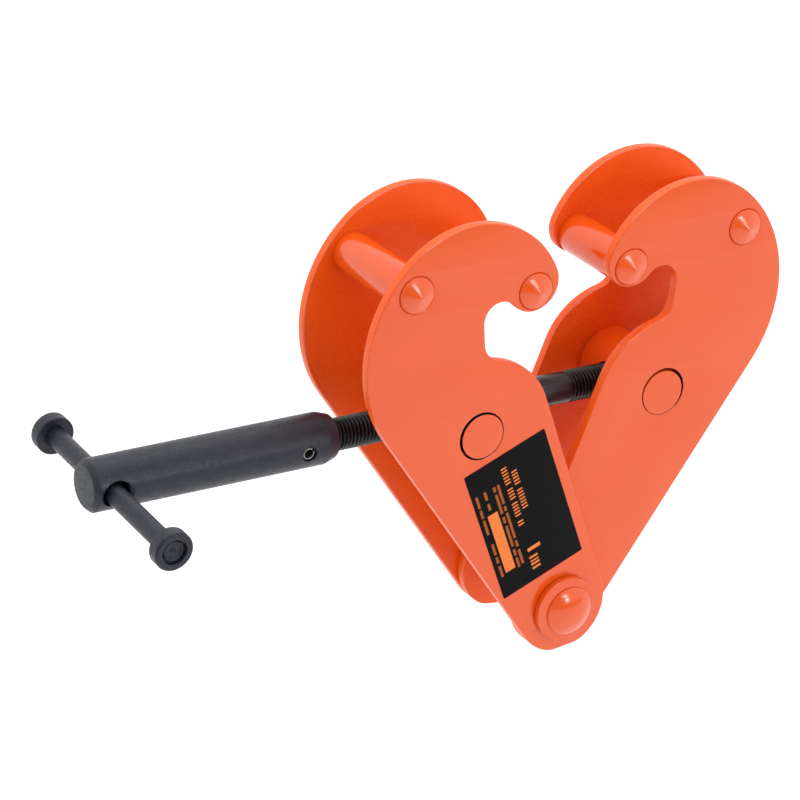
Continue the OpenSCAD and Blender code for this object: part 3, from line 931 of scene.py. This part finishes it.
def strokes(rows):
    """(left, right, bottom, top) of every stroke in the rows, in millimetres."""
    boxes = []
    for left, right, top, words in rows:
        spacing = SPACING * (right - left) + SPACING_MORE
        for word in words:
            for k in range(round(word / spacing)):
                stroke_top = top - k * spacing
                boxes.append((left, right, stroke_top - STROKE * spacing, stroke_top))
            top -= word + WORD_GAP
    return boxes


def add_print(name, boxes, material):
    """Puts flat printed marks on the label's film."""
    marks = [
        slab([rounded_rectangle(x0 * MM, x1 * MM, z0 * MM, z1 * MM, PRINT_CORNER)],
             label_front, label_front + PRINT_T + PRINT_SUNK, PRINT_EASE, on_label, steps=1)
        for x0, x1, z0, z1 in boxes
    ]
    add_piece(name, join(*marks), None, material, body="left_jaw")


add_print("rating_label_print", [print_block, *rating_mark, *strokes(large_rows)], PRINT)
add_print("rating_label_fine_print", strokes(fine_rows), FINE_PRINT)


# ---------- Floor, light and camera ----------

FLOOR_Z = -0.6
FLOOR_HALF = 12


def plain_material(name, shade):
    """One even matt shade, for what stands round the object."""
    material = bpy.data.materials.new(name)
    material.use_nodes = True
    shader = material.node_tree.nodes["Principled BSDF"]
    shader.inputs["Base Color"].default_value = (shade, shade, shade, 1)
    shader.inputs["Roughness"].default_value = 0.9
    return material


def flat_sheet(name, corners, material):
    """A four-cornered sheet that belongs to the studio."""
    mesh = bpy.data.meshes.new(name)
    mesh.from_pydata(corners, [], [(0, 1, 2, 3)])
    mesh.materials.append(material)
    sheet = bpy.data.objects.new(name, mesh)
    bpy.context.scene.collection.objects.link(sheet)
    return sheet


flat_sheet("floor", [(-FLOOR_HALF, -FLOOR_HALF, FLOOR_Z), (FLOOR_HALF, -FLOOR_HALF, FLOOR_Z),
                     (FLOOR_HALF, FLOOR_HALF, FLOOR_Z), (-FLOOR_HALF, FLOOR_HALF, FLOOR_Z)],
           plain_material("pale_floor", 0.97))

# Dark cards on the front side, which the camera doesn't see, only light and reflections. For each:
# its two ends in X and Y, its foot and its top.
DARK = plain_material("dark_card", 0.2)
for name, (x0, y0), (x1, y1), foot, top in (
        ("card_left", (-1.8, -0.75), (0.2, -1.75), -0.2, 0.9),
        ("card_right", (0.2, -1.5), (2.4, -1.5), -0.2, 0.15)):
    card = flat_sheet(name, [(x0, y0, foot), (x1, y1, foot), (x1, y1, top), (x0, y0, top)], DARK)
    card.visible_camera = False

world = bpy.data.worlds.new("studio")
world.use_nodes = True
background = world.node_tree.nodes["Background"]
background.inputs["Color"].default_value = (1, 1, 1, 1)
background.inputs["Strength"].default_value = 1.25
bpy.context.scene.world = world


def soft_light(name, location, width, height, power, target=(0, 0, 0.1)):
    """An oblong area light that faces the object."""
    data = bpy.data.lights.new(name, "AREA")
    data.shape = "RECTANGLE"
    data.size = width
    data.size_y = height
    data.energy = power
    lamp = bpy.data.objects.new(name, data)
    bpy.context.scene.collection.objects.link(lamp)
    lamp.location = location
    lamp.rotation_euler = (Vector(target) - Vector(location)).to_track_quat("-Z", "Y").to_euler()
    lamp.visible_camera = False


soft_light("front", (0.31, -1.42, 0.36), 0.16, 0.16, 2.2)
soft_light("front_strip", (0.2, -1.4, 0.62), 0.4, 0.06, 1.6)
soft_light("top", (0.1, 0.5, 2.4), 2.0, 2.0, 13)

# The camera stands at the front left, above, and leans a little
CAMERA_AT = Vector((-0.9346, -1.3245, 0.8275))
CAMERA_AZIMUTH = math.radians(32.825)     # looking direction, from +Y towards +X
CAMERA_DOWN = math.radians(24.41)
CAMERA_ROLL = math.radians(3.33)

camera_data = bpy.data.cameras.new("camera")
camera_data.sensor_width = 36
camera_data.lens = 166.42
camera = bpy.data.objects.new("camera", camera_data)
bpy.context.scene.collection.objects.link(camera)
looking = Vector((math.sin(CAMERA_AZIMUTH) * math.cos(CAMERA_DOWN),
                  math.cos(CAMERA_AZIMUTH) * math.cos(CAMERA_DOWN),
                  -math.sin(CAMERA_DOWN)))
level = looking.to_track_quat("-Z", "Y").to_matrix().to_4x4()
camera.matrix_world = Matrix.Translation(CAMERA_AT) @ level \
    @ Matrix.Rotation(CAMERA_ROLL, 4, "Z")
bpy.context.scene.camera = camera

bpy.context.scene.view_settings.view_transform = "Standard"
